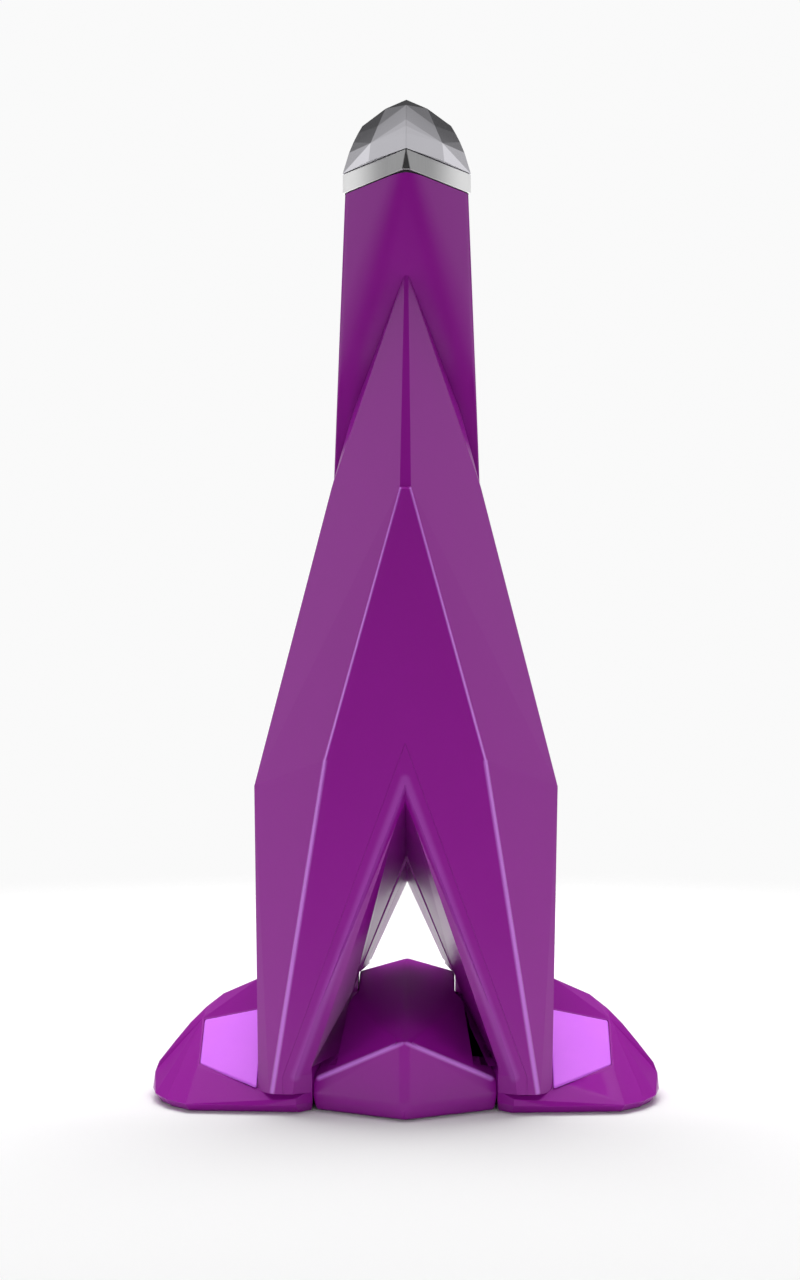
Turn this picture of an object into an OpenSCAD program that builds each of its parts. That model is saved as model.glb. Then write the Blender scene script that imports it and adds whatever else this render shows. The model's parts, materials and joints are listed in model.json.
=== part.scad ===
// Hinged fluke anchor that stands on its crown: a pointed, faceted fluke rises in
// front of a shank that swings back on a cross pin, with a metal rode head on top.
// Millimetres, +Z up, the fluke's face looks along -Y, the origin is on the floor.

/* [Overall] */
// Height from the floor to the point of the head
overall_h = 400; // [380:5:480]
// Width over the two stabiliser lobes
crown_w = 203; // [165:1:245]

/* [Shank] */
// Width of the shank under the collar
shank_top_w = 52; // [46:1:62]
// Width of the shank at the knee, where its front turns flat
shank_knee_w = 58; // [52:1:68]
// Width of the yoke at the foot of the shank
yoke_w = 72; // [66:1:80]
// Depth of the shank from front to back, and the size of its pivot eyes
shank_t = 22; // [19:1:26]
// How far the front ridge stands out under the collar
shank_ridge = 24; // [18:1:28]
// Height of the knee above the floor
knee_z = 286; // [270:1:300]
// Height of the brushed collar
collar_h = 8.4; // [5:0.1:12]
// Height of the polished head above the collar
head_h = 28.3; // [24:0.1:34]
// Fall of the collar's joint planes towards the back, per millimetre
collar_slant = 0.32; // [0:0.01:0.4]
// Diameter of the rode eye through the head
eye_d = 10; // [8:0.5:12]

/* [Fluke] */
// Width of the fluke at its shoulders
fluke_w = 121.4; // [112:0.1:132]
// Height of the shoulders
shoulder_z = 125.5; // [118:0.5:134]
// Height at which the ridge splits around the face plate
split_z = 244.2; // [230:0.1:258]
// How far the face plate stands proud of the shell
face_proud = 1.6; // [1:0.1:3]
// Height of the opening between the legs, at the fluke's face
opening_z = 125; // [112:1:130]

/* [Walls and fits] */
// Wall of the moulded shells
wall = 3; // [2.4:0.1:3.6]
// Gap between pieces that move past each other
run_gap = 1.5; // [1:0.1:2.5]
// Gap between pieces that are fastened together
fit_gap = 0.3; // [0.2:0.05:0.5]
// Diameter of the pivot pin
pin_d = 10; // [8:0.5:12]
// Radial play between the pin and what turns on it
pin_play = 0.05; // [0.02:0.01:0.1]
// Wall of the pivot bushes and of the eye bush
bush_wall = 2; // [1.5:0.1:2.5]
// Thread diameter of the small screws
screw_d = 4; // [3:0.5:5]

/* [Hidden] */

purple = [0.46, 0.05, 0.48];
lilac = [0.80, 0.45, 1.0];
brushed = [0.62, 0.62, 0.63];
polished = [0.82, 0.82, 0.84];
iron = [0.22, 0.22, 0.24];
rubber = [0.08, 0.08, 0.09];

// --- levels and places that several pieces share ---
slack = 0.02;                                  // keeps cutting solids clear of coplanar faces
reach = 400;                                   // longer than any piece, for cutting solids
pin_r = pin_d / 2;
eye_r = shank_t / 2;                           // pivot eyes are as thick as the shank
pin_y = eye_r;
rim_z = 0.5;                                   // lower edge of the purple shells
sole_t = 2.5;
sole_z = 1.5;                                  // underside of the sole plate
slab_z = sole_z + sole_t + fit_gap;            // underside of the iron slab
slab_t = 4;
pin_z = slab_z + slab_t + 0.7 + eye_r;         // eyes swing just clear of the slab
head_z = overall_h - head_h;                   // collar's top plane at y = 0
collar_z = head_z - collar_h;                  // collar's lower plane at y = 0
back_y = -run_gap;                             // rear face of the fluke

// Shank: half widths and plan positions
top_x = shank_top_w / 2;
knee_x = shank_knee_w / 2;
yoke_x = yoke_w / 2;
leg_in = 20;                                   // inner face of each pivot eye
ridge_y = -shank_ridge;
top_back = [15, 18];                           // rear corner of the section at the collar
knee_back = [19, shank_t - 1];
fork_z = 100;                                  // the shank turns into a yoke below this
flat_rate = shank_ridge / (collar_z + collar_slant * shank_ridge - knee_z);

// Window through the yoke, wider at its front
win_step_z = 46.5;
win_front = [19.05, 92.5];                     // half width at the step, apex height
win_back = [15.7, 81];

// Fluke: the face plane leans back as it rises
face_lean = 0.0688;
face_foot_y = -62.8;
function face_y(z) = face_foot_y + face_lean * z;
fluke_x = fluke_w / 2;
shoulder_y = -27.5;
cheek = [31.3, 137.5];                         // where the face plate turns, as [x, z]
foot_in = [51.1, 8];
foot_out = [57.6, -55.6, 8];
edge = [30.3, -14, 243.9];                     // fluke's edge where it passes the shank
// The ridge above the split runs on until it meets the shank's flat front
ridge_rate = 0.3861;
tip_z = (flat_rate * knee_z - fit_gap - face_y(split_z) + ridge_rate * split_z - 0.2)
    / (ridge_rate + flat_rate);
tip_y = face_y(split_z) + ridge_rate * (tip_z - split_z);

// Opening between the fluke's legs: planes that close in towards the back
tun_front = [36.6, 15, opening_z - 3.5];       // half width, height of its foot, apex, behind the eased edge
tun_back = [21.3, 41, 93.3];                   // the same at the rear face
flare = [5.4, 3.5, 7.5];                       // width, depth and rise of the eased front edge
tun_front_y = face_y(tun_front[1]) + flare[1];
tun_rate = (tun_front[0] - tun_back[0]) / (tun_front_y - back_y);
function leg_wall_x(y) = tun_back[0] + tun_rate * (y - back_y);
ahead_y = tun_front_y - 8;

// Crown: tread planes, crest and outline
lobe_x = crown_w / 2;
leg_x = foot_out.x;
function lobe(f) = leg_x + f * (lobe_x - leg_x);
tread_rise = 0.535;                            // per millimetre towards the back
tread_fall = 0.104;                            // per millimetre outwards
function tread_z(x, y) = 15.7 + tread_rise * (y + 41) + tread_fall * (lobe(0.571) - x);
slot_in = leg_in - 0.5;                        // side of the ramp beside the pivot eyes

screw_head = [screw_d * 0.9, screw_d * 0.6];   // radius and height of a small screw's head

// --- helpers ---
function both(pts) = concat(pts, [for (p = pts) [-p.x, p.y, p.z]]);
function flip(pts) = [for (p = pts) [-p.x, p.y, p.z]];
function lowered(pts, t) = [for (p = pts) [p.x, p.y, p.z - t]];

// Convex solid around a list of points
module block(pts) {
    hull() polyhedron(points = pts, faces = [[for (i = [0:len(pts) - 1]) i]]);
}

module mirrored() {
    children();
    mirror([1, 0, 0]) children();
}

// Everything below the plane z = level - slant * y
module below(level, slant = collar_slant) {
    block([for (x = [-reach, reach], y = [-reach, reach], low = [0, 1])
        [x, y, low ? -reach : level - slant * y]]);
}

// Cylinder along X, centred on x
module bar_x(r, length, y, z, x = 0) {
    translate([x, y, z]) rotate([0, 90, 0]) cylinder(r = r, h = length, center = true, $fn = 48);
}

// Cylinder along Y that starts at y
module bar_y(r, length, x, y, z) {
    translate([x, y, z]) rotate([-90, 0, 0]) cylinder(r = r, h = length, $fn = 32);
}

// Pan-head screw that points along -Y, its head's seat at y
module screw_y(length, x, y, z) {
    bar_y(screw_d / 2, length, x, y - length, z);
    difference() {
        bar_y(screw_head[0], screw_head[1], x, y, z);
        translate([x, y + screw_head[1], z]) rotate([90, 0, 0])
            cylinder(r = screw_d * 0.45, h = screw_head[1] * 0.6, $fn = 6);
    }
}

// Countersunk clearance for such a screw
module screw_y_hole(length, x, y, z) {
    bar_y(screw_d / 2 + fit_gap / 2, length + 1, x, y - length - 1, z);
    bar_y(screw_head[0] + fit_gap, 12, x, y, z);
}

// --- shank ---
// Section of the shank on the plane z = level - slant * y; shrink draws it in
function top_ring(level, shrink = 0) = let (s = shrink) both([
    [0, ridge_y + 1.4 * s, level - collar_slant * (ridge_y + 1.4 * s)],
    [top_x - 1.2 * s, 0, level],
    [top_back.x - 0.6 * s, top_back.y - s, level - collar_slant * (top_back.y - s)]
]);

module shank_outer(shrink = 0) {
    s = shrink;
    knee = [[knee_x - 1.2 * s, s, knee_z], [knee_back.x - 0.6 * s, knee_back.y - s, knee_z]];
    fork = [[yoke_x - 1.2 * s, s, fork_z], [yoke_x - 6 - s, shank_t - s, fork_z]];
    block(concat(top_ring(collar_z + (s > 0 ? 0.5 : 0), s), both(knee)));
    block(both(concat(knee, fork)));
    block(both(concat(fork, [
        [yoke_x - 1.2 * s, s, pin_z], [yoke_x - 3 - s, shank_t - s, pin_z]
    ])));
}

// Window and the space between the pivot eyes; grow widens it
module yoke_window(grow = 0) {
    g = grow;
    spread_f = win_front.x / (win_front[1] - win_step_z);
    spread_b = win_back.x / (win_back[1] - win_step_z);
    block(both([
        [0, -slack, win_front[1] + 2.4 * g],
        [win_front.x + g, -slack, win_step_z],
        [0, shank_t + slack, win_back[1] + 2.4 * g],
        [win_back.x + g, shank_t + slack, win_step_z]
    ]));
    translate([-leg_in - g, -1, -1])
        cube([2 * (leg_in + g), shank_t + 2, win_step_z + 1 + slack]);
    translate([-win_back.x - g, -1, win_step_z - 2]) cube([2 * (win_back.x + g), shank_t + 2, 4]);
}

shell_end_z = pin_z + eye_r + 0.6;             // the purple shells stop above the steel eyes
core_y = [6, shank_t - 6];                     // front and back of the steel core
core_top_x = 12;
tang_x = 9;

module shank_body() {
    difference() {
        shank_outer();
        yoke_window();
        translate([-reach / 2, -reach / 2, shell_end_z - reach]) cube(reach);
    }
}

module core_shape(grow = 0) {
    g = grow;
    trunk = [[core_top_x + g, core_y[0] - g, collar_z - 8], [core_top_x + g, core_y[1] + g, collar_z - 8]];
    fork = [[yoke_x - 8 + g, core_y[0] - g, fork_z + 14], [yoke_x - 8 + g, core_y[1] + g, fork_z + 14]];
    foot = [[yoke_x - 4.5 + g, core_y[0] - g, pin_z], [yoke_x - 4.5 + g, core_y[1] + g, pin_z]];
    difference() {
        union() {
            block(both(concat(trunk, fork)));
            block(both(concat(fork, foot)));
        }
        yoke_window(grow = wall + fit_gap - g);
        if (g > 0) translate([-reach / 2, -reach / 2, shell_end_z - reach - 1]) cube(reach);
    }
    // tang that carries the head
    translate([-tang_x - g, core_y[0] - g, collar_z - 9])
        cube([2 * (tang_x + g), core_y[1] - core_y[0] + 2 * g, tang_z - collar_z + 9 + g]);
}

module shank_core() {
    color(polished) difference() {
        union() {
            core_shape();
            for (s = [-1, 1])
                bar_x(eye_r, yoke_x - leg_in - 2 * 0.4, pin_y, pin_z, s * (yoke_x + leg_in) / 2);
        }
        for (s = [-1, 1])
            bar_x(pin_r + pin_play + bush_wall, yoke_x - leg_in + 2, pin_y, pin_z, s * (yoke_x + leg_in) / 2);
        bar_y(head_bolt_r + 0.1, shank_t, 0, head_bolt_y - 0.3, head_bolt_z);
        for (z = shank_screw_z) bar_y(screw_d / 2 + fit_gap, shank_t, 0, core_y[0] - 1, z);
    }
}

module pivot_bushes() {
    color("tan") for (s = [-1, 1]) difference() {
        bar_x(pin_r + pin_play + bush_wall - 0.02, yoke_x - leg_in - 2 * 0.4, pin_y, pin_z, s * (yoke_x + leg_in) / 2);
        bar_x(pin_r + pin_play, yoke_x, pin_y, pin_z, s * (yoke_x + leg_in) / 2);
    }
}

part_y = shank_t / 2;                          // joint plane between the two shank shells
shank_screw_z = [for (i = [0:2]) fork_z + 25 + i * (collar_z - fork_z - 60) / 2];

// Hollow of the shank around its core, with a boss left at each screw
module shank_hollow() {
    difference() {
        shank_outer(shrink = wall);
        yoke_window(grow = wall);
        for (z = shank_screw_z)
            bar_y(screw_d / 2 + wall - 0.5, shank_t + 40, 0, -30, z);
        below(shell_end_z - 1, 0);
    }
}

module shank_front() {
    color(purple) difference() {
        shank_body();
        shank_hollow();
        core_shape(grow = fit_gap);
        translate([-reach / 2, part_y - fit_gap / 3, -1]) cube([reach, reach, 2 * reach]);
        for (z = shank_screw_z)
            bar_y(screw_d / 2 + 0.1, 14, 0, part_y - 11.4, z);
    }
}

module shank_back() {
    color(purple) difference() {
        shank_body();
        shank_hollow();
        core_shape(grow = fit_gap);
        translate([-reach / 2, part_y - reach, -1]) cube([reach, reach, 2 * reach]);
        for (z = shank_screw_z)
            screw_y_hole(shank_t, 0, screw_seat_y(z), z);
    }
}

// Rear face of the shank at height z
function shank_back_y(z) = z > knee_z
    ? knee_back.y + (top_back.y - knee_back.y) * (z - knee_z) / (collar_z - knee_z)
    : shank_t - (shank_t - knee_back.y) * max(0, z - fork_z) / (knee_z - fork_z);

// The screws' heads seat behind the core
function screw_seat_y(z) = max(shank_back_y(z) - 3, core_y[1] + fit_gap / 3);

module shank_screws() {
    color(polished) for (z = shank_screw_z)
        screw_y(screw_seat_y(z) - (part_y - 11), 0, screw_seat_y(z), z);
}

// --- collar and head ---
collar_flat = 1.6;                             // half width of the narrow facet on its ridge

module collar_shape(shrink = 0) {
    low = top_ring(collar_z + fit_gap / 2 + seal_t, shrink);
    flat_low = both([[collar_flat, ridge_y + 1 + 1.4 * shrink,
        collar_z + seal_t + fit_gap / 2 - collar_slant * (ridge_y + 1 + 1.4 * shrink)]]);
    sides = [for (p = low) if (abs(p.x) > collar_flat) p];
    block(concat(sides, flat_low, top_ring(head_z, shrink)));
}

seal_t = 0.5;
module collar_seal() {
    color(rubber) difference() {
        block(concat(top_ring(collar_z, 0.8), top_ring(collar_z + seal_t, 0.8)));
        core_shape(grow = fit_gap);
    }
}

module collar() {
    color(brushed) difference() {
        collar_shape();
        core_shape(grow = fit_gap);
        difference() {
            block(concat(top_ring(collar_z, wall), top_ring(head_z - 2.5, wall)));
            below(collar_z + seal_t + 2.5);
        }
    }
}

// The head's outline, from the collar up: half width, front ridge, rear face, inner corner
head_rows = [
    // share of the height, half width, ridge y, corner x, corner y, rear half width, rear y
    [0.00, top_x,        ridge_y,        15.2, -12.0, top_back.x, top_back.y],
    [0.30, top_x - 2.6,  ridge_y + 1.0,  14.4, -11.6, 13.6, 17.0],
    [0.45, top_x - 4.4,  ridge_y + 1.8,  12.8, -11.4, 12.6, 16.0],
    [0.58, top_x - 6.3,  ridge_y + 2.7,  11.5, -11.0, 11.5, 15.0],
    [0.68, top_x - 8.0,  ridge_y + 3.6,  10.2, -10.6, 10.4, 13.8],
    [0.87, 8.6,          ridge_y + 5.6,   8.4,  -9.6,  6.0, 9.5]
];

function head_row(r, grow = 0) = let (
    z = head_z + r[0] * head_h,
    tilt = collar_slant * (1 - r[0])
) both([
    [0, r[2], z - tilt * r[2]],
    [r[3], r[4], z - tilt * r[4]],
    [r[1], 0, z],
    [r[5], r[6], z - tilt * r[6]]
]);

eye_y = 8;
eye_z = head_z + 13;
head_bolt_r = 2.2;
head_bolt_z = head_z + 2.6;
tang_z = head_z + 5.2;                         // top of the tang, just under the rode eye

head_bolt_y = 9;

module head_shape() {
    rows = [for (r = head_rows) each head_row(r)];
    difference() {
        block(concat(lift(rows, fit_gap / 2), [[0, -13, overall_h], [0, 3, overall_h - 1.2]]));
    }
}
function lift(pts, t) = [for (p = pts) [p.x, p.y, p.z + t]];

module rode_head() {
    color(polished) difference() {
        head_shape();
        bar_x(eye_d / 2 + bush_wall, 80, eye_y, eye_z);
        core_shape(grow = fit_gap);
        bar_y(head_bolt_r + 0.1, 30, 0, head_bolt_y - 0.3, head_bolt_z);
    }
}

module eye_bush() {
    color(brushed) difference() {
        intersection() {
            bar_x(eye_d / 2 + bush_wall - 0.02, 80, eye_y, eye_z);
            head_shape();
        }
        bar_x(eye_d / 2, 90, eye_y, eye_z);
    }
}

module head_bolt() {
    tail_y = head_row(head_rows[0])[3].y - 1;
    color(brushed) difference() {
        bar_y(head_bolt_r, tail_y - head_bolt_y, 0, head_bolt_y, head_bolt_z);
        translate([0, tail_y + 1, head_bolt_z]) rotate([90, 0, 0]) cylinder(r = 1.2, h = 3, $fn = 6);
    }
}

// --- fluke ---
face_edge = [1.0, 2.0];                        // chamfer of the face plate above and below the cheek

// Outline of the face plate; depth goes back from its face, grow spreads it
function face_ring(depth, grow) = let (
    pts = [
        [2 + 0.4 * grow * face_edge[0], split_z + grow * face_edge[0]],
        [cheek.x + grow * face_edge[0], cheek.y + 0.4 * grow],
        [foot_in.x + grow * face_edge[1], foot_in.y]
    ]
) both([for (p = pts) [p.x, face_y(p.y) + depth, p.y]]);

module fluke_outer() {
    block(concat(face_ring(face_proud, 1), [[0, tip_y, tip_z]], both([
        [edge.x, edge.y, edge.z],
        [fluke_x, shoulder_y, shoulder_z],
        foot_out,
        [22, back_y, 275], [30, back_y, 140], [36, back_y, 60], [36, back_y, foot_in.y]
    ])));
}

// The hollow of the fluke, open at the rear; fit > 0 gives the back plate's outline
module fluke_inner(fit = 0) {
    f = fit;
    block(concat([[0, -16, 296]], both([
        [1, face_y(split_z) + 5, split_z - 6],
        [cheek.x - 2.2, face_y(cheek.y) + 4.8, cheek.y - 2],
        [foot_in.x - 4, face_y(foot_in.y) + 5, foot_in.y],
        [edge.x - 4.2, edge.y, edge.z - 8],
        [fluke_x - 5.4, shoulder_y, shoulder_z - 4],
        [foot_out.x - 4.6, foot_out.y + 6, foot_in.y],
        [18 - f, slack, 262 - 2 * f], [26.5 - f, slack, 140], [32.3 - f, slack, 60],
        [32.3 - f, slack, foot_in.y]
    ])));
}

// Opening between the legs; grow widens it
module tunnel(grow = 0) {
    g = grow * 1.07;
    top_y = face_y(tun_front[2]) + flare[1];
    run = (top_y - flare[1] - 8 - top_y) / (back_y - top_y);
    block(both([
        [0, top_y + run * (back_y - top_y), tun_front[2] + run * (tun_back[2] - tun_front[2]) + 3 * g],
        [leg_wall_x(ahead_y) + g, ahead_y, tun_front[1]],
        [0, 1, tun_back[2] - 1 + 3 * g],
        [leg_wall_x(1) + g, 1, tun_back[1]]
    ]));
    block(both([for (low = [0, 1]) each [
        [leg_wall_x(ahead_y) + g, ahead_y, low ? -5 : tun_front[1]],
        [leg_wall_x(1) + g, 1, low ? -5 : tun_back[1]]
    ]]));
}

module tunnel_flare() {
    rows = [[-1, 1 + 1 / flare[1]], [flare[1], 0]];
    block(both([for (r = rows) each [
        [0, face_y(tun_front[2]) + r[0], tun_front[2] + r[1] * flare[2]],
        [tun_front[0] + r[1] * flare[0], face_y(tun_front[1]) + r[0], tun_front[1]],
        [tun_front[0] + r[1] * flare[0], face_y(tun_front[1]) + r[0], -5]
    ]]));
}

deep_z = slab_z + slab_t + 0.3;                // underside of the legs between ramp and stabilisers

// What the crown takes away from the foot of the fluke
module crown_room(gap) {
    translate([0, 0, gap]) {
        mirrored() {
            block(concat(wedge_top(0), lowered(wedge_top(0), 40)));
            translate([0, -gap, 0]) block(crest_points(0));
        }
    }
    translate([-reach / 2, -reach / 2, deep_z + gap - fit_gap - reach]) cube(reach);
}

face_pins = [[9, 205], [23, 150], [41, 60]];
back_screws = [[15, 232], [24, 120]];

module fluke_shell() {
    color(purple) difference() {
        fluke_outer();
        tunnel();
        tunnel_flare();
        crown_room(fit_gap);
        difference() {
            fluke_inner();
            tunnel(grow = wall);
            crown_room(fit_gap + wall);
            for (s = [-1, 1], p = back_screws) bar_y(screw_d / 2 + wall - 0.5, back_y - wall + 64.5, s * p.x, -64.5, p.y);
        }
        foot_room();
        for (s = [-1, 1], p = back_screws) bar_y(screw_d / 2 + 0.1, 14, s * p.x, -16.5, p.y);
        for (s = [-1, 1], p = face_pins) bar_y(2 + fit_gap / 2, 9, s * p.x, face_y(p.y) - 1, p.y);
    }
}

// Lets the spine's feet down through the floor of the deep legs
module foot_room() {
    for (s = [-1, 1]) translate([s * spine_foot.x - 3.3, spine_foot.y - 5.3, -1]) cube([6.6, 10.6, 42]);
}

module fluke_face() {
    color(purple) difference() {
        union() {
            block(concat(face_ring(0, 0), face_ring(face_proud - 0.05, 0.97)));
            for (s = [-1, 1], p = face_pins) bar_y(2, 6.5, s * p.x, face_y(p.y) + 0.8, p.y);
        }
        tunnel();
        tunnel_flare();
        crown_room(fit_gap);
    }
}

module fluke_back() {
    color(purple) difference() {
        intersection() {
            fluke_inner(fit = fit_gap);
            translate([-100, back_y - wall, 0]) cube([200, wall, 400]);
        }
        tunnel(grow = wall + fit_gap);
        crown_room(2 * fit_gap + wall);
        for (s = [-1, 1], p = back_screws) screw_y_hole(12, s * p.x, back_y - 2.4, p.y);
        for (s = [-1, 1]) bar_y(5.2, 2, s * 13, back_y - 1.5, buffer_z);
    }
}

module fluke_back_screws() {
    color(polished) for (s = [-1, 1], p = back_screws)
        screw_y(11, s * p.x, back_y - 2.4, p.y);
}

buffer_z = 195;
module rest_buffers() {
    color(rubber) for (s = [-1, 1]) bar_y(5, 2.6, s * 13, back_y - 1.45, buffer_z);
}

spine_foot = [leg_wall_x(-10) + 1.07 * wall + 4.4, back_y - wall - 5.5];
spine_top = 244;
module fluke_spine() {
    bar = [[-22, -12], [-24, -14]];
    foot = [[spine_foot.x - 3, spine_foot.x + 3], [spine_foot.y - 5, spine_foot.y + 5]];
    color(polished) difference() {
        union() {
            block(both([for (i = [0, 1]) each
                [[5 - i, bar[0][i], 132], [4, bar[1][i], spine_top]]]));
            mirrored() {
                block([for (y = bar[0]) each
                    [[-5, y, 138], [-5, y, 150], [20, y + 4, 88], [27, y + 4, 92], [5, y, 156]]]);
                block(concat(
                    [for (y = bar[0]) each [[20, y + 4, 88], [27, y + 4, 92]]],
                    [for (x = foot[0], y = foot[1]) [x, y, 34]]
                ));
                translate([foot[0][0], foot[1][0], slab_z + slab_t + 0.1])
                    cube([6, 10, 34 + slack - slab_z - slab_t]);
            }
        }
        for (s = [-1, 1]) translate([s * spine_foot.x, spine_foot.y, 0])
            cylinder(r = screw_d / 2 + 0.1, h = 24, $fn = 32);
        for (z = bolt_z) bar_y(screw_d / 2 + 0.1, 30, 0, -30, z);
    }
}

bolt_z = [208, 222];
module fluke_ballast() {
    color(iron) difference() {
        block(both([[4, -35, 228], [9, -25.5, 228], [11, -37, 200], [12, -25.5, 200]]));
        for (z = bolt_z) bar_y(screw_d / 2 + 0.1, 12, 0, -33, z);
    }
}

module spine_bolts() {
    color(polished) for (z = bolt_z) screw_y(19, 0, -11.6 - 0.25 * (z - 200) / 5, z);
}

// --- crown ---
crown_in = 37.8;                               // inner face of the stabilisers beside the yoke
ledge_in = 36.3;                               // inner face of the ledge under the legs
wall_foot = [[lobe(0.571), -15], [59.7, -12]]; // where the treads meet the rising back

// Top of the wedge-shaped front of the right stabiliser
function wedge_top(s) = [
    [ledge_in + s, -57 + s, 9 - s],
    [42.5 + s, -62.3 + s, 6.3],
    [foot_out.x - 1.5, -60 + s, 6.5],
    [lobe(0.571) - s, -42.6 + s, tread_z(lobe(0.571), -42.6) - s],
    [lobe_x - 1.5 * s, -20, 8.9 - s],
    [lobe_x - 2 - 1.5 * s, -4, 9 - s],
    [wall_foot[0].x - s, -15, tread_z(wall_foot[0].x, -15) - 1.1 * s],
    [wall_foot[1].x, -12, tread_z(wall_foot[1].x, -12) - 1.1 * s],
    [ledge_in + s, -12, 31 - s],
    [ledge_in + s, -1.6, 31 - s]
];

// Foot of the same wedge: full outline above, drawn in where it meets the floor
function wedge_foot(s) = [
    [ledge_in + s, -57.3 + s, 4.2], [42.5, -62.6 + s, 3.8], [foot_out.x - 0.6, -62 + s, 3.6],
    [lobe(0.645) - s, -59.2 + s, 3.6], [lobe(0.84) - s, -50 + s, 3.6], [lobe(0.957) - s, -39.5, 3.8],
    [lobe_x - s, -29, 4.2], [lobe_x - s, -21, 5], [lobe_x - 1.8 - s, -4, 5],
    [ledge_in + 0.4 + s, -54.5 + s, rim_z], [41.5, -59.6 + s, rim_z], [foot_out.x - 1.6, -59.2 + s, rim_z],
    [lobe(0.61) - s, -56.6 + s, rim_z], [lobe(0.79) - s, -48 + s, rim_z], [lobe(0.9) - s, -38, rim_z],
    [lobe_x - 3 - s, -20, rim_z], [lobe_x - 4.5 - s, -4, rim_z],
    [ledge_in + s, -1.6, rim_z]
];

// Rising back of the right stabiliser
function crest_points(s) = [
    [crown_in + s, 4.5 + s, 48.2 - 1.2 * s],
    [44, 4 + s, 47.5 - 1.2 * s], [60.3, -1 + s, 44.1 - 1.2 * s],
    [lobe(0.392) - 0.4 * s, -5 + s, 38.3 - 1.1 * s], [lobe(0.544) - 0.7 * s, -9 + s, 33.5 - s],
    [lobe(0.688) - s, -12 + s, 27.5 - s], [lobe(0.822) - s, -15 + s, 20.6 - s],
    [lobe(0.966) - s, -18 + s, 12.8 - s], [lobe_x - s, -20 + s, 8.9 - 0.5 * s],
    [wall_foot[0].x, -15 + s, tread_z(wall_foot[0].x, -15) - s],
    [wall_foot[1].x, -12 + s, tread_z(wall_foot[1].x, -12) - s],
    [crown_in + s, -8 + s, 36 - s],
    [crown_in + s, 24 - s, 44 - 1.2 * s], [62, 19 - s, 38 - 1.2 * s], [lobe(0.6), 10 - s, 29 - s],
    [lobe_x - 2.4 - s, 0, 6.4], [lobe(0.69), 20 - s, 7], [68, 34 - s, 8], [crown_in + s, 42 - s, 10],
    [lobe_x - 7 - s, -1, rim_z], [lobe(0.6), 16 - s, rim_z], [65, 30 - s, rim_z],
    [crown_in + s, 37.5 - s, rim_z], [crown_in + s, -8 + s, rim_z]
];

// Plan of the sole and of the iron slab
module base_plan(inset = 0) {
    i = inset;
    polygon([for (s = [1, -1], p = s > 0 ? base_line(i) : rev(base_line(i))) [s * p.x, p.y]]);
}
function rev(v) = [for (k = [len(v) - 1:-1:0]) v[k]];
function base_line(i) = [
    [0, -67 + 1.2 * i], [30, -49 + i], [foot_out.x - 2, -48 + i], [lobe(0.5) - i, -34 + i],
    [lobe_x - 11 - i, -17 + i], [lobe_x - 13 - i, -2], [lobe(0.56) - i, 13 - i],
    [61 - i, 25 - i], [36 - i, 33 - i], [0, 37 - i]
];

boss_at = [[lobe(0.282), -16], [lobe(0.191), 14], [52, -38]];
toe_boss = [0, -40];

module stabiliser() {
    difference() {
        union() {
            block(concat(wedge_top(0), wedge_foot(0)));
            block(crest_points(0));
        }
        difference() {
            union() {
                block(concat(lowered(wedge_hollow(), 0.6), [for (p = wedge_hollow()) [p.x, p.y, deep_z]]));
                block([for (p = crest_points(wall)) [p.x, p.y, max(p.z, deep_z - 1)]]);
            }
            for (p = boss_at) translate([p.x, p.y, deep_z]) cylinder(r = 5, h = 50, $fn = 32);
        }
        translate([0, 0, -1]) linear_extrude(deep_z + 1) offset(delta = fit_gap) base_plan();
        for (p = boss_at) translate([p.x, p.y, 0]) cylinder(r = screw_d / 2 + 0.1, h = 17, $fn = 32);
        tread_inlay(0.2);
        bar_x(spacer_r + 0.4, 10, pin_y, pin_z, crown_in);
    }
}

function wedge_hollow() = [
    [ledge_in + wall, -44, tread_z(45, -44) - 5], [foot_out.x, -44, tread_z(58, -44) - wall],
    [lobe(0.571) - wall, -36, tread_z(lobe(0.571), -36) - wall],
    [lobe(0.571) - wall, -13, tread_z(lobe(0.571), -13) - wall - 1],
    [wall_foot[1].x, -10, tread_z(wall_foot[1].x, -12) - wall],
    [ledge_in + wall, -10, 27], [ledge_in + wall, -3, 27], [lobe_x - 10, -17, deep_z + 0.7]
];

// Inlay that fills the tread; fit > 0 cuts its seat
module tread_inlay(fit = 0) {
    f = fit;
    t = 2 + f;
    plan = [
        [foot_out.x + 0.6 - f, -56.2 - f], [lobe(0.571) - 0.9 + f, -40.4 - f],
        [lobe(0.571) - 0.9 + f, -15.6 + f], [foot_out.x + 0.6 - f, -12.4 + f]
    ];
    block([for (p = plan, low = [0, 1])
        [p.x, p.y, tread_z(p.x, p.y) + (low ? -t : (f > 0 ? 4 : 0))]]);
}

module right_stabiliser() { color(purple) stabiliser(); }
module left_stabiliser() { color(purple) mirror([1, 0, 0]) stabiliser(); }
module right_tread() { color(lilac) tread_piece(); }
module left_tread() { color(lilac) mirror([1, 0, 0]) tread_piece(); }
module tread_piece() {
    difference() {
        tread_inlay();
        translate([0, -0.25, 0.1]) block(crest_points(0));
    }
}

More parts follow.
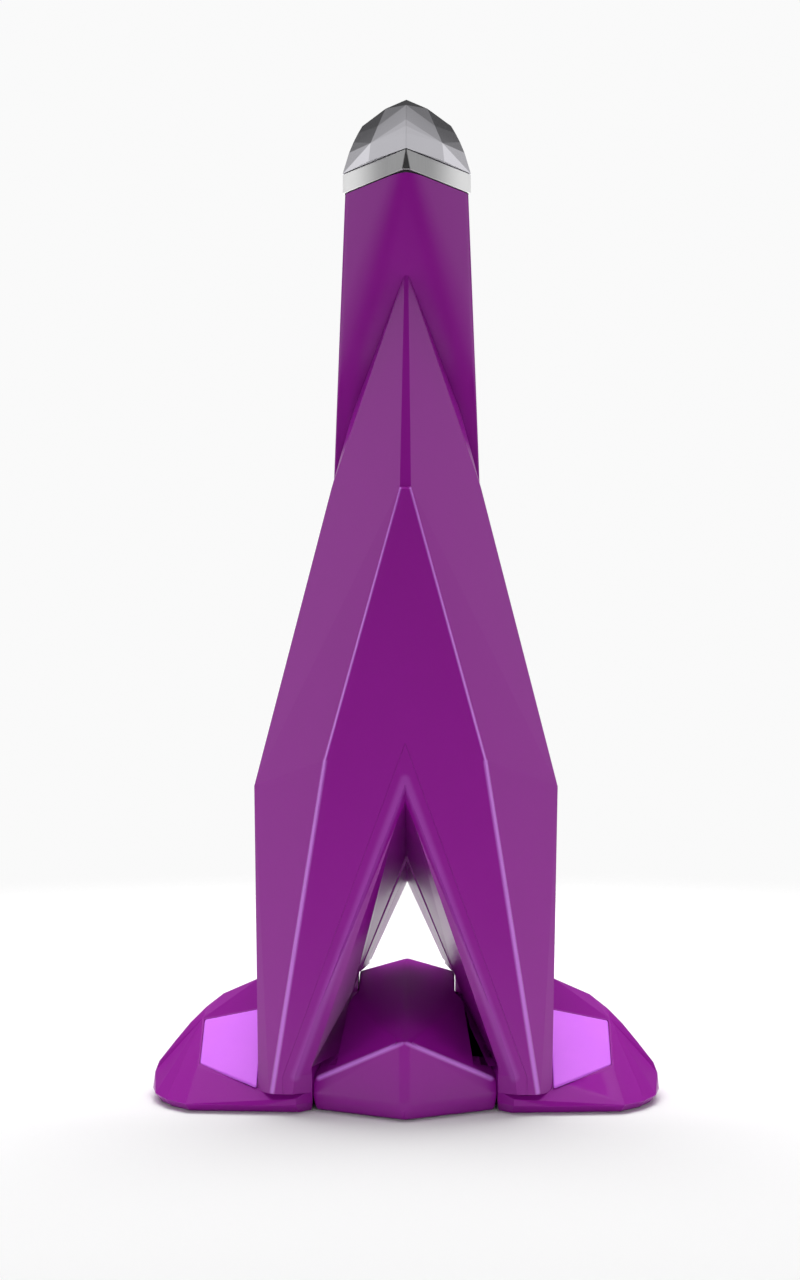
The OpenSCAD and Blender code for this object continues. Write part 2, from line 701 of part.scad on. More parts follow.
// The toe and its ramp, front half then the half between the pivot eyes
ramp_x = slot_in;
function ramp_side(y) = leg_wall_x(y) - 0.38;
function ramp_front(s) = both([
    [0, -78 + 2.2 * s, 5.5], [0, -75 + 2 * s, 31.4 - 1.6 * s],
    [ramp_side(-55) - 1.4 * s, -55 + s, 12.8 - 1.4 * s], [ramp_side(-57) - 1.4 * s, -57 + s, 6.5],
    [ramp_side(-10) - 1.1 * s, -10, 36.5 - 1.3 * s], [ramp_x - s, -1, 39.6 - 1.1 * s], [0, -1, 45.2 - 1.05 * s],
    [0, -74 + 2.2 * s, rim_z], [ramp_side(-53.4) - 1.4 * s, -53.4 + s, rim_z],
    [ramp_side(-10) - s, -10, rim_z], [ramp_x - s, -1, rim_z]
]);
function ramp_rear(s) = both([
    [ramp_x - s, -1 - 0.1, 39.55 - 1.1 * s], [0, -1 - 0.1, 45.17 - 1.05 * s],
    [ramp_x - s, 20, 43.9 - 1.1 * s], [0, 21, 49.3 - 1.05 * s],
    [ramp_x - s, 43 - s, 12], [0, 46 - s, 14], [ramp_x - s, 43 - s, 6], [0, 46 - s, 6],
    [ramp_x - s, 39 - s, rim_z], [0, 42 - s, rim_z], [ramp_x - s, -1.1, rim_z]
]);

module toe_ramp() {
    color(purple) difference() {
        union() {
            block(ramp_front(0));
            block(ramp_rear(0));
        }
        difference() {
            union() {
                block(ramp_front(wall));
                block(ramp_rear(wall));
            }
            translate([toe_boss.x, toe_boss.y, deep_z]) cylinder(r = 5, h = 50, $fn = 32);
        }
        translate([0, 0, -1]) linear_extrude(deep_z + 1) offset(delta = fit_gap) base_plan();
        translate([toe_boss.x, toe_boss.y, 0]) cylinder(r = screw_d / 2 + 0.1, h = 18, $fn = 32);
        bar_x(spacer_r + 0.4, 60, pin_y, pin_z);
    }
}

lug_x = [ramp_x - wall - 0.6, crown_in + wall + 0.7, crown_in + wall + 10.7];
spacer_r = 8;

module crown_block() {
    color(iron) difference() {
        union() {
            translate([0, 0, slab_z]) linear_extrude(slab_t) base_plan();
            bar_x(10, 2 * lug_x[0], pin_y, pin_z);
            translate([-lug_x[0], pin_y - 10, slab_z + 1]) cube([2 * lug_x[0], 20, pin_z - slab_z - 1]);
            for (s = [-1, 1]) {
                bar_x(10, lug_x[2] - lug_x[1], pin_y, pin_z, s * (lug_x[1] + lug_x[2]) / 2);
                translate([s * (lug_x[1] + lug_x[2]) / 2 - 5, pin_y - 10, slab_z + 1])
                    cube([10, 20, pin_z - slab_z - 1]);
            }
        }
        bar_x(pin_r + 0.02, 200, pin_y, pin_z);
        for (p = all_screws()) translate([p.x, p.y, 0]) cylinder(r = screw_d / 2 + 0.1, h = 30, $fn = 32);
    }
}

function all_screws() = concat([toe_boss], [for (s = [-1, 1], p = concat(boss_at, [spine_foot])) [s * p.x, p.y]]);

module pivot_pin() {
    color(polished) difference() {
        bar_x(pin_r, 2 * (lug_x[2] + 5), pin_y, pin_z);
        for (s = [-1, 1]) difference() {
            bar_x(pin_r + 1, 1.4, pin_y, pin_z, s * (lug_x[2] + 2));
            bar_x(pin_r - 1, 3, pin_y, pin_z, s * (lug_x[2] + 2));
        }
    }
}

module pin_clips() {
    color(polished) for (s = [-1, 1]) difference() {
        bar_x(pin_r + 2.5, 1.2, pin_y, pin_z, s * (lug_x[2] + 2));
        bar_x(pin_r - 0.95, 3, pin_y, pin_z, s * (lug_x[2] + 2));
        translate([s * (lug_x[2] + 2) - 1, pin_y - pin_r + 1, pin_z - 12])
            cube([2, 2 * pin_r - 2, 12]);
    }
}

// Sleeves that keep the pivot eyes centred between the lugs
module pin_spacers() {
    gaps = [[lug_x[0] + 0.05, leg_in + 0.4 - 0.35], [yoke_x - 0.4 + 0.35, lug_x[1] - 0.05]];
    color("tan") for (s = [-1, 1], g = gaps) difference() {
        bar_x(spacer_r, g[1] - g[0], pin_y, pin_z, s * (g[0] + g[1]) / 2);
        bar_x(pin_r + pin_play, g[1] - g[0] + 2, pin_y, pin_z, s * (g[0] + g[1]) / 2);
    }
}

pad_at = [[0, 0], [lobe(0.214), 0], [0, -54], [0, 27]];
pad_r = 8;

module sole_plate() {
    color(iron) difference() {
        translate([0, 0, sole_z]) linear_extrude(sole_t) base_plan();
        for (p = all_screws()) translate([p.x, p.y, 0]) {
            cylinder(r = screw_d / 2 + 0.2, h = 10, $fn = 32);
            cylinder(r = screw_head[0] + 0.2, h = sole_z + sole_t - 1.2, $fn = 32);
        }
        for (s = [-1, 1], p = pad_at) if (s > 0 || p.x > 0) translate([s * p.x, p.y, 0])
            cylinder(r = pad_r + 0.05, h = sole_z + 1, $fn = 48);
    }
}

module sole_pads() {
    color(rubber) for (s = [-1, 1], p = pad_at) if (s > 0 || p.x > 0)
        translate([s * p.x, p.y, 0]) cylinder(r = pad_r, h = sole_z + 0.95, $fn = 48);
}

module sole_screws() {
    seat = sole_z + sole_t - 1.2;
    color(polished) for (p = all_screws()) translate([p.x, p.y, 0]) {
        translate([0, 0, seat - 1.3]) difference() {
            cylinder(r = screw_head[0], h = 1.28, $fn = 32);
            translate([0, 0, -1]) cylinder(r = screw_d * 0.45, h = 1.7, $fn = 6);
        }
        translate([0, 0, seat - 0.1]) cylinder(r = screw_d / 2, h = 16 - seat, $fn = 32);
    }
}

crown_block();
toe_ramp();
left_stabiliser();
right_stabiliser();
left_tread();
right_tread();
sole_plate();
sole_pads();
sole_screws();
pivot_pin();
pin_clips();
pin_spacers();
fluke_shell();
fluke_face();
fluke_back();
fluke_spine();
fluke_ballast();
spine_bolts();
fluke_back_screws();
rest_buffers();
shank_core();
shank_front();
shank_back();
shank_screws();
pivot_bushes();
collar();
collar_seal();
rode_head();
eye_bush();
head_bolt();
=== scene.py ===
import json
import math

import bmesh
import bpy
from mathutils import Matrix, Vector


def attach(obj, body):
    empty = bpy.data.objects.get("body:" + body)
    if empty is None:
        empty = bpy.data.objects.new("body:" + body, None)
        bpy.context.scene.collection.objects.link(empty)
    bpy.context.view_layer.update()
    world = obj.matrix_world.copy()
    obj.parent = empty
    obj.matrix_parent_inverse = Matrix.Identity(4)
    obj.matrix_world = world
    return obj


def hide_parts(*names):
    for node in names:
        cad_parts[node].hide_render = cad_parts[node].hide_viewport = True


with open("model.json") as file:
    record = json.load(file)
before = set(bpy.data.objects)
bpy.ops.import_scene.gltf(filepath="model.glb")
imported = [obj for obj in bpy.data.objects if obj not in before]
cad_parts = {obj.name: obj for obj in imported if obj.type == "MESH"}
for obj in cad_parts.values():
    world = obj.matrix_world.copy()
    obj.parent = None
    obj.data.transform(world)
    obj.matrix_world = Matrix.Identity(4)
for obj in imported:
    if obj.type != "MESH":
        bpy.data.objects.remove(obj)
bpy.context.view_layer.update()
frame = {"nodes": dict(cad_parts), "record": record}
nodes = frame["nodes"]
mm = 0.001

# place in millimetres, angles in degrees
camera = {"lens": 85, "place": (14.07, -1232.07, 240.0), "down": 2.6594, "turn": 0.781}

cameraData = bpy.data.cameras.new("camera")
cameraData.lens = camera["lens"]
cameraData.sensor_width = 36
cameraData.clip_start, cameraData.clip_end = 0.01, 50
cameraObject = bpy.data.objects.new("camera", cameraData)
cameraObject.location = Vector(camera["place"]) * mm
cameraObject.rotation_euler = (math.radians(90 - camera["down"]), 0, math.radians(camera["turn"]))
bpy.context.scene.collection.objects.link(cameraObject)
bpy.context.scene.camera = cameraObject
bpy.context.scene.view_settings.view_transform = "Standard"   # whites stay white


class Wire:
    # one output of a node that takes part in sums

    def __init__(self, shader, socket):
        self.shader, self.socket = shader, socket

    def sum(self, operation, left, right=None):
        given = {0: left} if right is None else {0: left, 1: right}
        return self.shader.node("Math", {"operation": operation}, given)

    def __add__(self, other): return self.sum("ADD", self, other)
    def __radd__(self, other): return self.sum("ADD", other, self)
    def __sub__(self, other): return self.sum("SUBTRACT", self, other)
    def __rsub__(self, other): return self.sum("SUBTRACT", other, self)
    def __mul__(self, other): return self.sum("MULTIPLY", self, other)
    def __rmul__(self, other): return self.sum("MULTIPLY", other, self)
    def __truediv__(self, other): return self.sum("DIVIDE", self, other)
    def __rtruediv__(self, other): return self.sum("DIVIDE", other, self)
    def __pow__(self, other): return self.sum("POWER", self, other)
    def __rpow__(self, other): return self.sum("POWER", other, self)
    def __abs__(self): return self.sum("ABSOLUTE", self)

    def clamp(self):
        return self.shader.node("Math", {"operation": "MULTIPLY", "use_clamp": True}, {0: self, 1: 1.0})


class Shader:
    # a node tree that is filled by calls

    def __init__(self, owner):
        owner.use_nodes = True
        self.owner, self.tree = owner, owner.node_tree
        self.tree.nodes.clear()

    def node(self, kind, settings=None, sockets=None, output=0):
        made = self.tree.nodes.new("ShaderNode" + kind)
        for key, value in (settings or {}).items():
            if key == "stops":
                ramp = made.color_ramp
                while len(ramp.elements) < len(value):
                    ramp.elements.new(0.5)
                for element, (at, tone) in zip(ramp.elements, value):
                    element.position, element.color = at, tone
            else:
                setattr(made, key, value)
        for key, value in (sockets or {}).items():
            if isinstance(value, Wire):
                self.tree.links.new(value.socket, made.inputs[key])
            else:
                made.inputs[key].default_value = value
        return Wire(self, made.outputs[output]) if made.outputs else None

    def mixColour(self, factor, first, second):
        return self.node("Mix", {"data_type": "RGBA"}, {0: factor, 6: first, 7: second}, 2)

    def place(self):
        # where a point is on the object, in metres
        return self.node("TexCoord", output=3)

    def axes(self, vector):
        return [self.node("SeparateXYZ", {}, {0: vector}, k) for k in range(3)]

    def smooth(self, value, start, end, first=0.0, last=1.0):
        # goes softly from first to last while value goes from start to end
        return self.node("MapRange", {"interpolation_type": "SMOOTHSTEP"},
                         {"Value": value, "From Min": start, "From Max": end, "To Min": first, "To Max": last})

    def noise(self, scale, detail=2.0, rough=0.5, stretch=(1, 1, 1)):
        where = self.node("Mapping", {}, {"Vector": self.place(), "Scale": stretch})
        return self.node("TexNoise", {}, {"Vector": where, "Scale": scale, "Detail": detail, "Roughness": rough})

    def bump(self, strength, distance, height):
        return self.node("Bump", {}, {"Strength": strength, "Distance": distance, "Height": height})


def colour(*linear):
    return (*linear, 1.0)


def finish(name, look):
    # look holds Principled socket values; "grow" adds what changes over the surface
    material = bpy.data.materials.new(name)
    shader = Shader(material)
    sockets = dict(look["sockets"])
    sockets.update(look["grow"](shader) if "grow" in look else {})
    surface = shader.node("BsdfPrincipled", {}, sockets)
    shader.node("OutputMaterial", {}, {"Surface": surface})
    return material


room = {
    "seen": 0.955,                    # what stands behind the object
    "spread": 0.60,                   # share of it that lights matt surfaces
    "dim": 0.10,                      # how bright the ceiling is beside the lamp box
    "ceiling": (0.35, 0.68),          # height at which the walls turn into it
    "darkBack": (0.12, 0.30),         # height at which the backdrop turns into the dark gap over it
    "backWidth": (0.82, 0.95),        # how far that gap reaches to the sides
    "backDark": 0.9,
    # brightness by direction: 0 is behind the object, 1 is in front of it
    "round": [(0.0, 0.95), (0.02, 0.9), (0.05, 0.10), (0.20, 0.10), (0.26, 0.45), (0.33, 1.1), (0.42, 1.05),
              (0.55, 0.80), (0.75, 0.52), (0.85, 0.14), (0.93, 0.02), (1.0, 0.01)],
}

roomWorld = bpy.data.worlds.new("room")
bpy.context.scene.world = roomWorld
sky = Shader(roomWorld)
looking = sky.node("TexCoord", output=0)
x, y, z = sky.axes(looking)
flatReach = (x * x + y * y + 0.0001) ** 0.5
toFront = (y / flatReach) * -0.5 + 0.5
walls = sky.node("ValToRGB", {"stops": [(at, (v, v, v, 1)) for at, v in room["round"]]}, {0: toFront})
upper = sky.smooth(z, *room["ceiling"])
behind = sky.smooth(y / flatReach, *room["backWidth"])
lifted = sky.smooth(z, *room["darkBack"])
glow = walls * (1 - upper) * (1 - behind * lifted * room["backDark"]) + upper * room["dim"]
seen = sky.node("LightPath")
matt = sky.node("LightPath", output=2)
strength = seen * room["seen"] + (1 - seen) * glow * (1 - matt * (1 - room["spread"]))
background = sky.node("Background", {}, {"Color": colour(1, 1, 1), "Strength": strength})
sky.node("OutputWorld", {}, {"Surface": background})

lights = [
    # name, place, aimed at, width and depth, watts, seen in reflections
    ("overhead", (0, -0.10, 1.5), (0, 0.0, 0.1), (0.8, 0.5), 5, False),
    ("backWash", (0, 0.75, 1.45), (0, -0.05, 0.0), (2.2, 1.2), 46, False),
    ("frontFill", (0, -2.2, 0.45), (0, 0.0, 0.2), (2.0, 0.9), 13, False),
]
for name, place, aim, size, watts, mirrored in lights:
    lampData = bpy.data.lights.new(name, "AREA")
    lampData.shape = "RECTANGLE"
    lampData.size, lampData.size_y = size
    lampData.energy = watts
    lamp = bpy.data.objects.new(name, lampData)
    lamp.location = place
    lamp.rotation_euler = (Vector(aim) - Vector(place)).to_track_quat("-Z", "Y").to_euler()
    lamp.visible_glossy = mirrored
    bpy.context.scene.collection.objects.link(lamp)

floorLook = {"reach": 2, "colour": 0.93, "solidTo": 0.34, "goneAt": 0.72}   # metres from the middle

floorMesh = bpy.data.meshes.new("floor")
reach = floorLook["reach"]
floorMesh.from_pydata([(-reach, -reach, 0), (reach, -reach, 0), (reach, reach, 0), (-reach, reach, 0)], [],
                      [(0, 1, 2, 3)])
floor = bpy.data.objects.new("floor", floorMesh)
bpy.context.scene.collection.objects.link(floor)
floorMaterial = bpy.data.materials.new("paleFloor")
paint = Shader(floorMaterial)
away = paint.node("VectorMath", {"operation": "LENGTH"}, {0: paint.place()}, 1)
fade = paint.smooth(away, floorLook["solidTo"], floorLook["goneAt"])
grey = floorLook["colour"]
pale = paint.node("BsdfDiffuse", {}, {"Color": colour(grey, grey, grey), "Roughness": 0.5})
clear = paint.node("BsdfTransparent")
paint.node("OutputMaterial", {}, {"Surface": paint.node("MixShader", {}, {0: fade, 1: pale, 2: clear})})
floorMesh.materials.append(floorMaterial)
print("camera, room and floor are set")

purple = {
    # rim: the lighter purple of the painted highlights along edges
    "deep": (0.292, 0.0060, 0.306), "light": (0.312, 0.0075, 0.328), "rim": (0.62, 0.20, 0.80),
    "rough": 0.30, "grain": 0.05,
}
# lilac: tone of the tread inlays, lighter and bluer than the shell; it holds their own tone and also painted light
# from above on their upward tops
lilac = {"deep": (0.66, 0.130, 0.93), "light": (0.74, 0.160, 0.98), "rough": 0.30}
headMetal = {"dark": (0.60, 0.59, 0.63), "light": (0.66, 0.65, 0.69), "rough": 0.13}
# painted highlights, lighter purple lines along edges: ends in millimetres on the right-hand side, half width of the
# line, strength
flukeHighlightLines = [((2.2, -45.6, 244.8), (31.8, -52.9, 137.6), 0.75, 1.0),
              ((31.8, -52.9, 137.6), (52.0, -61.6, 9), 1.15, 0.95),
              ((0.0, -53.6, 130.5), (42.6, -61.6, 15.0), 1.9, 0.22)]
toeHighlightLines = [((0.9, -74.6, 31.1), (33.5, -56.2, 13.6), 1.25, 1.0)]


def highlightMask(shader, lines):
    # 0 to 1: how near a point is to one of the painted highlight lines
    x, y, z = shader.axes(shader.place())
    right = shader.node("CombineXYZ", {}, {0: abs(x), 1: y, 2: z})
    total = None
    for start, end, wide, strength in lines:
        a, b = Vector(start) * mm, Vector(end) * mm
        along = b - a
        offset = shader.node("VectorMath", {"operation": "SUBTRACT"}, {0: right, 1: a})
        share = shader.node("VectorMath", {"operation": "DOT_PRODUCT"},
                            {0: offset, 1: along / along.length_squared}, 1).clamp()
        nearest = shader.node("VectorMath", {"operation": "SCALE"}, {0: along, "Scale": share})
        gap = shader.node("VectorMath", {"operation": "DISTANCE"}, {0: offset, 1: nearest}, 1)
        line = shader.smooth(gap, wide * 0.35 * mm, wide * 1.5 * mm, strength, 0.0)
        total = line if total is None else shader.node("Math", {"operation": "MAXIMUM"}, {0: total, 1: line})
    return total


def moulded(lines=()):
    def grow(shader):
        fine = shader.noise(1400, 2)
        peel = shader.noise(260, 2)
        broad = shader.noise(22, 3)
        tone = shader.mixColour(broad, colour(*purple["deep"]), colour(*purple["light"]))
        rough = purple["rough"] - 0.03 + broad * 0.06 + fine * 0.03
        if lines:
            # painted highlight: lighter, glossier purple along the given edge lines
            edge = highlightMask(shader, lines)
            tone = shader.mixColour(edge, tone, colour(*purple["rim"]))
            rough = rough - edge * 0.08
        return {
            "Base Color": tone, "Roughness": rough,
            "Normal": shader.bump(purple["grain"], 0.0002, peel * 0.7 + fine * 0.3),
        }
    return grow


def paintedTopLightInlay(shader):
    cloud = shader.noise(60, 3)
    fine = shader.noise(1800, 2)
    return {
        "Base Color": shader.mixColour(cloud, colour(*lilac["deep"]), colour(*lilac["light"])),
        "Roughness": lilac["rough"] + fine * 0.08,
        "Normal": shader.bump(0.04, 0.0002, fine),
    }


def polished(shader):
    scratch = shader.noise(500, 4, 0.6, (1, 1, 0.15))
    cloud = shader.noise(35, 2)
    return {
        "Base Color": shader.mixColour(cloud, colour(*headMetal["dark"]), colour(*headMetal["light"])),
        "Roughness": headMetal["rough"] + scratch * 0.05 + cloud * 0.03,
        "Normal": shader.bump(0.03, 0.0001, scratch),
    }


def brushed(tone, rough, stretch, bump=0.25, sheenEnds=None):
    # sheenEnds: painted reflection, the metal painted brighter sideways: from where to where, in millimetres, and how
    # bright it gets
    def grow(shader):
        lines = shader.noise(1.0, 4, 0.65, stretch)
        stain = shader.noise(45, 3)
        low, high = [colour(tone * k, tone * k, tone * k * 1.01) for k in (0.80, 1.10)]
        tint = shader.mixColour(lines, low, high)
        # painted reflection: base colour brighter towards the collar's ends
        if sheenEnds:
            near, far, bright = sheenEnds
            x = shader.axes(shader.place())[0]
            share = shader.smooth(abs(x), near * mm, far * mm)
            tint = shader.mixColour(share, tint, colour(bright, bright, bright))
        return {
            "Base Color": tint,
            "Roughness": rough + lines * 0.12 + stain * 0.05,
            "Normal": shader.bump(bump, 0.00008, lines),
        }
    return grow


def cast(dark, light, rough, scale, bump):
    def grow(shader):
        grain = shader.noise(scale, 5, 0.65)
        patch = shader.noise(scale / 12, 2)
        return {
            "Base Color": shader.mixColour(patch, colour(*dark), colour(*light)),
            "Roughness": rough - 0.06 + grain * 0.12,
            "Normal": shader.bump(bump, 0.0004, grain),
        }
    return grow


plastic, metal, dull = {"Specular IOR Level": 0.5}, {"Metallic": 1.0}, {"Specular IOR Level": 0.35}
finishes = {
    "purple_shell": finish("mouldedPurple", {"sockets": plastic, "grow": moulded()}),
    "lilac_inlay": finish("lilacInlayPaintedTopLight", {"sockets": plastic, "grow": paintedTopLightInlay}),
    "polished_head": finish("polishedHead", {"sockets": metal, "grow": polished}),
    "brushed_collar": finish("brushedCollarPaintedSheen", {
        "sockets": metal, "grow": brushed(0.42, 0.30, (2600, 2600, 60), 0.25, (8, 24, 0.92))}),
    "steel": finish("turnedSteel", {"sockets": metal, "grow": brushed(0.46, 0.26, (300, 1500, 1500), 0.15)}),
    "iron": finish("paintedIron", {
        "sockets": plastic, "grow": cast((0.018, 0.018, 0.020), (0.034, 0.034, 0.037), 0.55, 700, 0.5)}),
    "rubber": finish("mattRubber", {
        "sockets": dull, "grow": cast((0.014, 0.014, 0.015), (0.024, 0.024, 0.025), 0.75, 1500, 0.2)}),
    "nylon": finish("naturalNylon", {
        "sockets": plastic, "grow": cast((0.52, 0.48, 0.40), (0.60, 0.56, 0.48), 0.45, 900, 0.1)}),
}
flukeWithPaintedHighlights = finish("purpleFlukePaintedHighlights", {"sockets": plastic, "grow": moulded(flukeHighlightLines)})
toeWithPaintedHighlights = finish("purpleToePaintedHighlights", {"sockets": plastic, "grow": moulded(toeHighlightLines)})
slotOf = {row["node"]: row["material_slot"] for row in frame["record"]["subparts"]}
for nodeName, nodeObject in nodes.items():
    nodeObject.data.materials.clear()
    nodeObject.data.materials.append(finishes[slotOf[nodeName]])
print("finishes are on the fixed pieces")


hullFlat, cutFlat = 0.3, 0.5   # degrees below which two faces count as one


def both(points):
    # the points and their mirror images
    return [tuple(p) for p in points] + [(-p[0], *p[1:]) for p in points]


def hull(points):
    # convex shape around points in millimetres, flat sides joined into one face each
    form = bmesh.new()
    for point in points:
        form.verts.new(Vector(point) * mm)
    bmesh.ops.convex_hull(form, input=form.verts)
    bmesh.ops.delete(form, geom=[v for v in form.verts if not v.link_faces], context="VERTS")
    bmesh.ops.remove_doubles(form, verts=form.verts, dist=0.02 * mm)
    bmesh.ops.dissolve_limit(form, angle_limit=math.radians(hullFlat), verts=form.verts,
                             edges=form.edges)
    bmesh.ops.recalc_face_normals(form, faces=form.faces)
    mesh = bpy.data.meshes.new("shape")
    form.to_mesh(mesh)
    form.free()
    return mesh


def tidyFaces(mesh, flat=cutFlat):
    form = bmesh.new()
    form.from_mesh(mesh)
    bmesh.ops.remove_doubles(form, verts=form.verts, dist=0.03 * mm)
    bmesh.ops.dissolve_limit(form, angle_limit=math.radians(flat), verts=form.verts, edges=form.edges)
    form.to_mesh(mesh)
    form.free()
    return mesh


def carve(base, steps, flat=cutFlat):
    # base with the other shapes taken away, joined on or kept in common, one after another
    for operation, tool in steps:
        things = [bpy.data.objects.new("blank", base), bpy.data.objects.new("tool", tool)]
        for thing in things:
            bpy.context.scene.collection.objects.link(thing)
        cut = things[0].modifiers.new("cut", "BOOLEAN")
        cut.operation, cut.object, cut.solver = operation, things[1], "EXACT"
        graph = bpy.context.evaluated_depsgraph_get()
        base = bpy.data.meshes.new_from_object(things[0].evaluated_get(graph))
        for thing in things:
            bpy.data.objects.remove(thing)
        tidyFaces(base)
    return tidyFaces(base, flat)


def piece(name, mesh, body, slot, *replaced):
    # puts a mesh in the scene as a piece that stands for the replaced nodes
    thing = bpy.data.objects.new(name, mesh)
    bpy.context.scene.collection.objects.link(thing)
    mesh.name = name
    mesh.materials.clear()
    mesh.materials.append(finishes[slot])
    mesh.shade_smooth()
    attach(thing, body)
    if replaced:
        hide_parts(*replaced)
    return thing


def rounded(thing, widest, width, segments=4):
    # rounds each edge by what width(a, b) says, in millimetres; ends are given on the right-hand side
    form = bmesh.new()
    form.from_mesh(thing.data)
    weight = form.edges.layers.float.new("bevel_weight_edge")
    for edge in form.edges:
        a, b = [Vector((abs(v.co.x), v.co.y, v.co.z)) / mm for v in edge.verts]
        sharp = len(edge.link_faces) == 2 and edge.calc_face_angle(0) > math.radians(2)
        edge[weight] = min(1, width(a, b) / widest) if sharp else 0
    form.to_mesh(thing.data)
    form.free()
    bevel = thing.modifiers.new("roundedEdges", "BEVEL")
    bevel.limit_method, bevel.width, bevel.segments = "WEIGHT", widest * mm, segments
    bevel.harden_normals, bevel.use_clamp_overlap = True, True
    return thing


def eased(thing, width, segments, angle):
    bevel = thing.modifiers.new("easedEdges", "BEVEL")
    bevel.limit_method, bevel.angle_limit = "ANGLE", math.radians(angle)
    bevel.width, bevel.segments, bevel.harden_normals = width * mm, segments, True
    return thing


def loft(rows):
    # skin over rows of points in millimetres, with both ends filled
    form = bmesh.new()
    lines = [[form.verts.new(Vector(p) * mm) for p in row] for row in rows]
    count = len(rows[0])
    for low, high in zip(lines, lines[1:]):
        for k in range(count):
            after = (k + 1) % count
            form.faces.new((low[k], low[after], high[after], high[k]))
    form.faces.new(lines[0])
    form.faces.new(lines[-1])
    bmesh.ops.recalc_face_normals(form, faces=form.faces)
    mesh = bpy.data.meshes.new("skin")
    form.to_mesh(mesh)
    form.free()
    return mesh


def between(a, b, share):
    return a + (b - a) * share


fluke = {
    "split": 244.2, "shoulder": (60.7, -27.5, 125.5), "edge": (30.3, -14, 243.9),
    "cheek": (31.3, 137.5), "footIn": (51.1, 8), "footOut": (57.6, -55.6, 8), "faceProud": 1.6,
    "chamfer": (1.0, 2.0), "faceFoot": -62.8, "faceLean": 0.0688, "back": -1.5,
    "openFront": (36.6, 15, 121.5), "openBack": (21.3, 41, 93.3), "openEase": (6.4, 3.8, 8.5),
    "lip": 3.5, "lead": 11.5, "ahead": 4.5,   # where the openings' cutters start in front of the face
    "tall": [(22, -1.5, 275), (30, -1.5, 140), (36, -1.5, 60), (36, -1.5, 8)],   # back edge
    "rimSpread": 11, "recessGap": 0.15,
    "band": [(0.8, -12.0, 329.9), (2.2, -44.3, 245.3)],   # narrow flat along the ridge
    "widestSoft": 3.4, "bandSoft": 1.6, "creaseSoft": 3.0, "openSoft": 2.8, "edgeSoft": 1.6, "backSoft": 0.8,
    "faceSoft": 0.45,
}


def faceY(z):
    # front of the face at height z
    return fluke["faceFoot"] + fluke["faceLean"] * z


def plateRing(depth, grow=0.0):
    # outline of the raised face plate
    wide, low = fluke["chamfer"]
    points = [(2 + 0.4 * grow * wide, fluke["split"] + grow * wide),
              (fluke["cheek"][0] + grow * wide, fluke["cheek"][1] + 0.4 * grow),
              (fluke["footIn"][0] + grow * low, fluke["footIn"][1])]
    return [(x, faceY(z) + depth, z) for x, z in points]


def wallX(y):
    # half width between the legs at depth y
    front, back = fluke["openFront"], fluke["openBack"]
    startY = faceY(front[1]) + fluke["lip"]
    return back[0] + (front[0] - back[0]) * (y - fluke["back"]) / (startY - fluke["back"])


def openings():
    # cutters for the way between the legs, over and under their lean, and for its wider mouth
    front, back = fluke["openFront"], fluke["openBack"]
    topY = faceY(front[2]) + fluke["lip"]
    run = -fluke["lead"] / (fluke["back"] - topY)
    ahead = faceY(front[1]) - fluke["ahead"]
    upper = both([(0, topY - fluke["lead"], front[2] + run * (back[2] - front[2])), (wallX(ahead), ahead, front[1]),
                  (0, 1, back[2] - 1), (wallX(1), 1, back[1])])
    lower = both([(wallX(ahead), ahead, -5), (wallX(ahead), ahead, front[1]),
                  (wallX(1), 1, -5), (wallX(1), 1, back[1])])
    wide, deep, rise = fluke["openEase"]
    ease = []
    for depth, share in ((-1, 1 + 1 / deep), (deep, 0)):
        ease += [(0, faceY(front[2]) + depth, front[2] + share * rise),
                 (front[0] + share * wide, faceY(front[1]) + depth, front[1]),
                 (front[0] + share * wide, faceY(front[1]) + depth, -5)]
    return hull(upper), hull(lower), hull(both(ease))


def rimBlock():
    # strip of the face beside the opening that the plate leaves to the shell
    front = fluke["openFront"]
    spread = fluke["rimSpread"]
    points = []
    for depth in (-3, 3):
        points += [(0, faceY(front[2]) + depth, front[2] + spread * 2.1),
                   (front[0] + spread, faceY(front[1]) + depth, front[1]),
                   (front[0] + spread, faceY(front[1]) + depth, -5)]
    return hull(both(points))


tunnelUpper, tunnelLower, tunnelEase = openings()
rim = rimBlock()

# right side of the crown: the top that the fluke's feet stand on, the crest behind it, and the foot
crownIn = 36.3   # its inner side
crownTop = [(crownIn, -57, 9), (42.5, -62.3, 6.3), (56.1, -60, 6.5), (82.65, -42.6, 14.84), (101.5, -20, 8.9),
            (99.5, -4, 9), (82.65, -15, 29.6), (59.7, -12, 33.6), (crownIn, -12, 31), (crownIn, -1.6, 31)]
crest = [(37.8, 4.5, 48.2), (44, 4, 47.5), (60.3, -1, 44.1), (74.8, -5, 38.3), (81.5, -9, 33.5), (87.8, -12, 27.5),
         (93.7, -15, 20.6), (100, -18, 12.8), (101.5, -20, 8.9), (82.65, -15, 29.6), (59.7, -12, 33.6), (37.8, -8, 36),
         (37.8, 24, 44), (62, 19, 38), (84, 10, 29), (99.1, 0, 6.4), (87.9, 20, 7), (68, 34, 8), (37.8, 42, 10),
         (95.5, -1, 0.5), (84, 16, 0.5), (65, 30, 0.5), (37.8, 37.5, 0.5), (37.8, -8, 0.5)]
crownFoot = [(crownIn, -57.3, 4.2), (42.5, -62.6, 3.8), (57, -62, 3.6), (86, -59.2, 3.6), (94.5, -50, 3.6),
             (99.6, -39.5, 3.8), (101.5, -29, 4.2), (101.5, -21, 5), (99.7, -4, 5),
             (36.7, -54.5, 0.5), (41.5, -59.6, 0.5), (56, -59.2, 0.5), (84.4, -56.6, 0.5), (92.3, -48, 0.5),
             (97.1, -38, 0.5), (98.5, -20, 0.5), (97, -4, 0.5), (crownIn, -1.6, 0.5)]


def mirroredSides(points):
    return [tuple(p) for p in points], [(-p[0], *p[1:]) for p in points]


